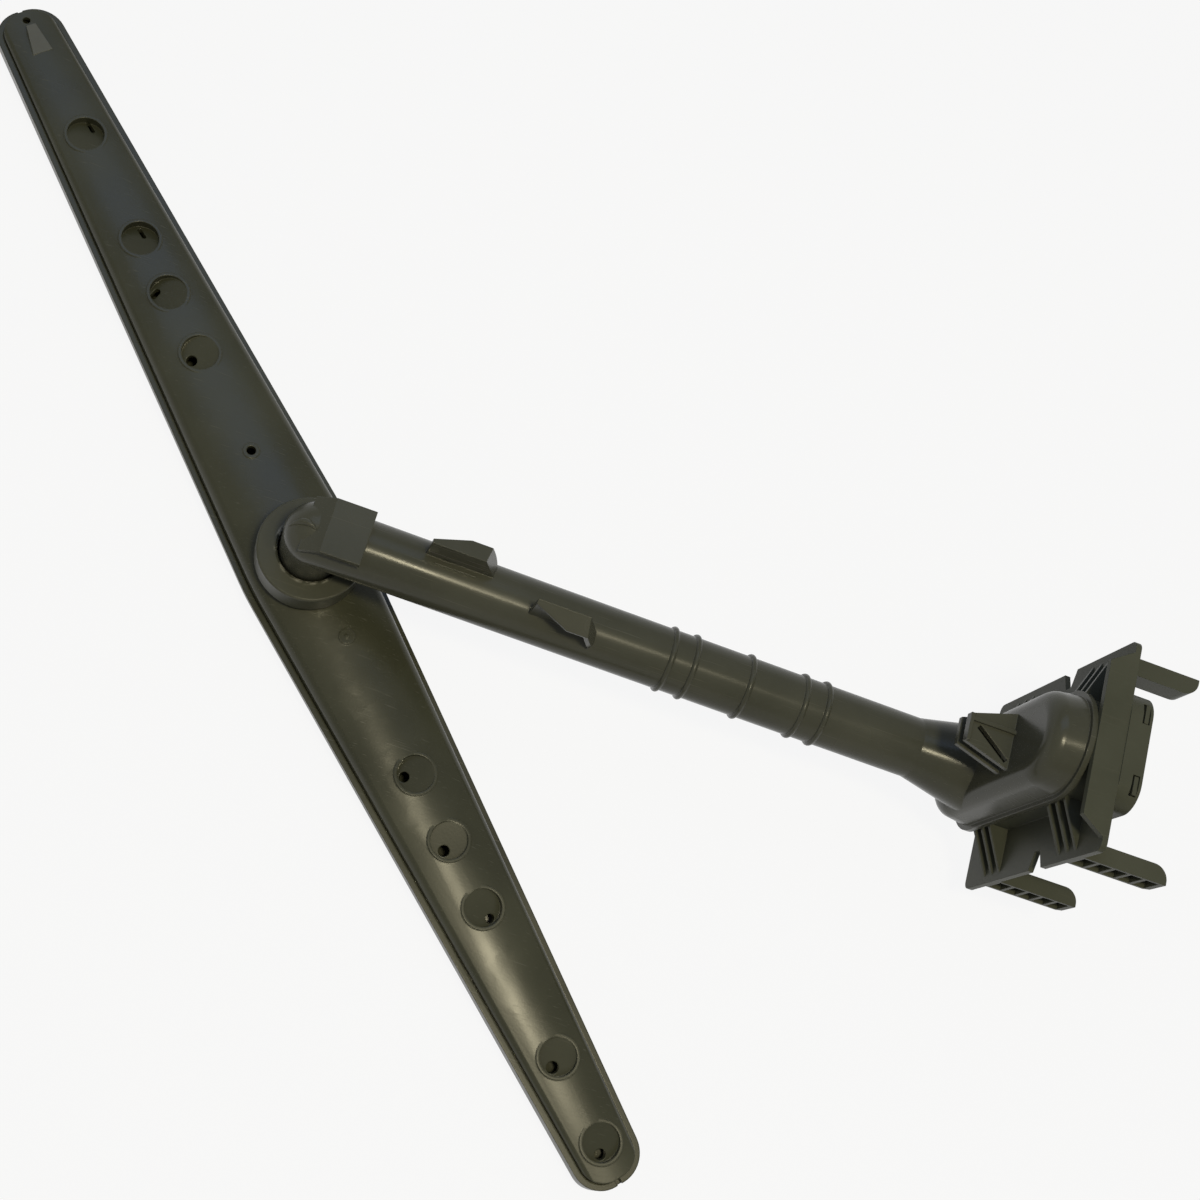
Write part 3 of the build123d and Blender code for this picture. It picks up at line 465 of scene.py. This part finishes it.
LIP_FROM, LIP_TO = -9.3 * MM, -0.2 * MM    # along X from the spin axis
LIP_SIDE = -0.7 * MM                       # across, at the middle of the lip
LIP_CURVE = 85.0                           # how fast it bends back, per metre
LIP_STEPS = 16
LIP_THIN, LIP_THICK = 0.2 * MM, 1.25 * MM
lip_path, lip_radii = [], []
for step in range(LIP_STEPS + 1):
    share = step / LIP_STEPS
    x = LIP_FROM + (LIP_TO - LIP_FROM) * share
    y = LIP_SIDE - LIP_CURVE * (x - (LIP_FROM + LIP_TO) / 2) ** 2
    lip_path.append(tube_start + Vector((x, y, math.sqrt(TUBE_RADIUS ** 2 - x * x - y * y))))
    lip_radii.append(LIP_THIN + (LIP_THICK - LIP_THIN) * math.sin(math.pi * share))
elbow_lip = bmesh.new()
bead(elbow_lip, lip_path, lip_radii)
finished_piece("elbow_lip", elbow_lip, tube_finish, "manifold")

# %% [markdown]
# Two short raised lines lie beside the front hook, left by the insert of the mould that
# shaped it. They are beads too, each from one end to the other on the crown of the tube.

# %% Lines beside the front hook
HOOK_LINES = (            # both ends of each: along from the spin axis and across, in millimetres
    ((40.3, 0.7), (55.3, 0.95)),
    ((42.9, 2.45), (48.1, 2.85)),
)
LINE_RADIUS = 0.3 * MM
hook_lines = bmesh.new()
for line in HOOK_LINES:
    line_path = []
    for along, across in line:
        side = Vector((0, across * MM, 0))
        crown = math.sqrt(TUBE_RADIUS ** 2 - (across * MM) ** 2)
        line_path.append(tube_start + tube_way * along * MM - down * crown + side)
    bead(hook_lines, line_path, [LINE_RADIUS, LINE_RADIUS])
finished_piece("hook_lines", hook_lines, tube_finish, "manifold")

# %% [markdown]
# The sloping face of the wedge at the far tip faces the light more than the arm does, so it
# looks paler. That paler look is a painted highlight: a thin skin on the face carries a paler
# tone.
# A mask could paint it too, but the skin keeps its clean outline. Four corners and one extrusion
# make it.

# %% Painted highlight on the tip wedge
HIGHLIGHT_CORNERS = (           # along the arm, across it and above its seam, in millimetres
    (-231.4, -1.8, 7.69), (-231.4, 1.8, 7.69), (-220.8, 3.75, 5.09), (-220.8, -3.75, 5.09),
)
HIGHLIGHT_LIFT, HIGHLIGHT_DEPTH = 0.1 * MM, 0.3 * MM
# painted highlight: the skin's paler tone stands in for the light that the sloping face catches,
# not for wear
painted_highlight_finish = moulded_polypropylene(
    "polypropylene_wedge_painted_highlight", body="#505149", pale="#595A52", rough=0.34, gloss=0.4,
    edge_round=0.3 * MM, grain_depth=0.03 * MM, scuff_turn=ARM_HEADING,
)
arm_side = Vector((-arm_way.y, arm_way.x, 0))
hub = Vector((SPIN_AXIS_X, 0, SEAM_Z))
lift = Vector((0, 0, HIGHLIGHT_LIFT))
highlight_skin = bmesh.new()
highlight_corners = []
for along, across, up in HIGHLIGHT_CORNERS:
    corner = hub + (arm_way * along + arm_side * across + Vector((0, 0, up))) * MM
    highlight_corners.append(highlight_skin.verts.new(corner + lift))
drawn_out(highlight_skin, [highlight_skin.faces.new(highlight_corners)], (0, 0, -HIGHLIGHT_DEPTH))
finished_piece("tip_wedge_painted_highlight", highlight_skin, painted_highlight_finish, "wash_arm")

# %% [markdown]
# The part lies over a white studio floor. The floor is a large plane just under the
# arm. To the camera and in reflections most of it glows at strength 1, which is paper
# white, while the rest takes light, so the part keeps its soft shadow. Its matt share is
# a light grey, so that it does not light the part from below too much. The Light Path
# node tells which rays see the floor directly, in a mirror or through glass.

# %% Floor
FLOOR_DROP = 2 * MM
FLOOR_REACH = 6.0         # metres from its middle to each side
FLOOR_MIDDLE_X = -0.2
FLOOR_GLOW = 0.9
PAPER_TONE = "#B6B6B4"


def seen_mask(tree):
    ray = put(tree, "LightPath").outputs
    mirrored = put(tree, "Math", {"operation": "MAXIMUM"},
                   {0: ray["Is Camera Ray"], 1: ray["Is Glossy Ray"]})
    return put(tree, "Math", {"operation": "MAXIMUM"},
               {0: mirrored.outputs["Value"], 1: ray["Is Transmission Ray"]}).outputs["Value"]


floor_z = cad_low.z - FLOOR_DROP
floor_shape = bmesh.new()
bmesh.ops.create_grid(floor_shape, x_segments=1, y_segments=1, size=FLOOR_REACH)
bmesh.ops.translate(floor_shape, verts=floor_shape.verts[:], vec=(FLOOR_MIDDLE_X, 0, floor_z))
floor_mesh = bpy.data.meshes.new("studio_floor")
floor_shape.to_mesh(floor_mesh)
floor_shape.free()
floor = bpy.data.objects.new("studio_floor", floor_mesh)
bpy.context.scene.collection.objects.link(floor)
paper, paper_tree = blank_material("matt_white_paper")
glow_share = put(paper_tree, "Math", {"operation": "MULTIPLY", 1: FLOOR_GLOW},
                 {0: seen_mask(paper_tree)})
matt_paper = put(paper_tree, "BsdfDiffuse", {"Color": linear(PAPER_TONE)})
glow = put(paper_tree, "Emission", {"Strength": 1.0})
surface = put(paper_tree, "MixShader", None,
              {0: glow_share.outputs["Value"], 1: matt_paper.outputs["BSDF"],
               2: glow.outputs["Emission"]})
put(paper_tree, "OutputMaterial", None, {"Surface": surface.outputs["Shader"]})
floor_mesh.materials.append(paper)
print("floor at", floor_z)

# %% [markdown]
# Light comes from a warm soft box overhead, which draws the bright line along the tube
# and the satin streak on the near half of the arm. Its place was worked out by mirroring
# the line of sight at those two highlights. A second, small one carries the line on past
# the beads of the tube. A large cool panel behind gives the far half of the arm its grey
# tone.

# %% Soft boxes
WARM, COOL = "#FFF4CF", "#A6C6FF"


def soft_box(name, spot, aim, width, depth, turn, watts, tint):
    lamp = bpy.data.lights.new(name, "AREA")
    lamp.shape = "RECTANGLE"
    lamp.size, lamp.size_y = width, depth
    lamp.energy = watts
    lamp.color = linear(tint)[:3]
    box = bpy.data.objects.new(name, lamp)
    box.location = spot
    box.rotation_euler = (Vector(aim) - Vector(spot)).to_track_quat("-Z", "Y").to_euler()
    box.rotation_euler.rotate_axis("Z", math.radians(turn))
    bpy.context.scene.collection.objects.link(box)


soft_box("soft_box_above", spot=(-0.140, -0.202, 1.05), aim=(-0.140, -0.202, 0.0),
         width=0.18, depth=0.11, turn=-34, watts=5.6, tint=WARM)
soft_box("small_soft_box", spot=(0.08, -0.17, 1.05), aim=(0.08, -0.17, 0.0),
         width=0.14, depth=0.08, turn=0, watts=1.0, tint=WARM)
soft_box("cool_panel", spot=(-0.59, 0.85, 1.47), aim=(-0.3, 0.0, -0.08),
         width=1.2, depth=0.9, turn=0, watts=4.2, tint=COOL)
print("lamps:", [lamp.name for lamp in bpy.data.lights])

# %% [markdown]
# The room is a plain gradient, near white at the horizon and dim overhead, so that a
# view from the side has a pale background and the plastic mirrors the same room. Matt
# surfaces take a lower, even level from it, which leaves most of the work to the soft
# boxes and keeps faces that look sideways darker than those that look up.

# %% Room
ROOM_FILL = 0.26                           # what the room gives to matt surfaces
ROOM_TONE = "#FAFAFA"
HORIZON_LEVEL, OVERHEAD_LEVEL = 0.93, 0.39
HORIZON_Z, OVERHEAD_Z = 0.06, 0.4          # Z of a ray's direction at both ends of the gradient
world = bpy.data.worlds.new("white_room")
bpy.context.scene.world = world
world.use_nodes = True
room_tree = world.node_tree
room_tree.nodes.clear()
heading = put(room_tree, "TexCoord").outputs["Generated"]
gaze = put(room_tree, "SeparateXYZ", None, {"Vector": heading})
level = put(room_tree, "MapRange", {"From Min": HORIZON_Z, "From Max": OVERHEAD_Z,
                                    "To Min": HORIZON_LEVEL, "To Max": OVERHEAD_LEVEL,
                                    "interpolation_type": "SMOOTHSTEP"},
            {"Value": gaze.outputs["Z"]})
strength = put(room_tree, "Mix", {"data_type": "FLOAT", NUMBER_A: ROOM_FILL},
               {"Factor": seen_mask(room_tree), NUMBER_B: level.outputs["Result"]})
room = put(room_tree, "Background", {"Color": linear(ROOM_TONE)},
           {"Strength": strength.outputs[NUMBER_OUT]})
put(room_tree, "OutputWorld", None, {"Surface": room.outputs["Background"]})
print("room level from", HORIZON_LEVEL, "at the horizon to", OVERHEAD_LEVEL, "overhead")

# %% [markdown]
# The camera stands where the photograph was taken. Its place and turn come from fitting
# a pinhole camera to the outlines of the arm, ring, tube and plate, and the lens follows
# from the same fit for a square picture. The fitted directions are rounded, so the axes
# are squared up again.

# %% Camera
EYE = Vector((-0.27231, -0.20173, 0.53462))
ASIDE = Vector((0.9319, 0.2639, 0.2488)).normalized()
BACK = Vector((-0.1517, -0.3396, 0.9283)).normalized()
SENSOR = 36.0
PICTURE_WIDTH = 1200      # pixels
FOCAL_PIXELS = 1795.58    # focal length in pixels of that picture
above = BACK.cross(ASIDE).normalized()
right = above.cross(BACK)
camera_data = bpy.data.cameras.new("photo_camera")
camera_data.sensor_width = SENSOR
camera_data.lens = SENSOR * (FOCAL_PIXELS / PICTURE_WIDTH)
camera_data.clip_start, camera_data.clip_end = 0.01, 50.0
camera = bpy.data.objects.new("photo_camera", camera_data)
camera.matrix_world = Matrix.Translation(EYE) @ Matrix((right, above, BACK)).transposed().to_4x4()
bpy.context.scene.collection.objects.link(camera)
bpy.context.scene.camera = camera
bpy.context.scene.view_settings.view_transform = "Standard"
print("lens", round(camera_data.lens, 2), "mm")
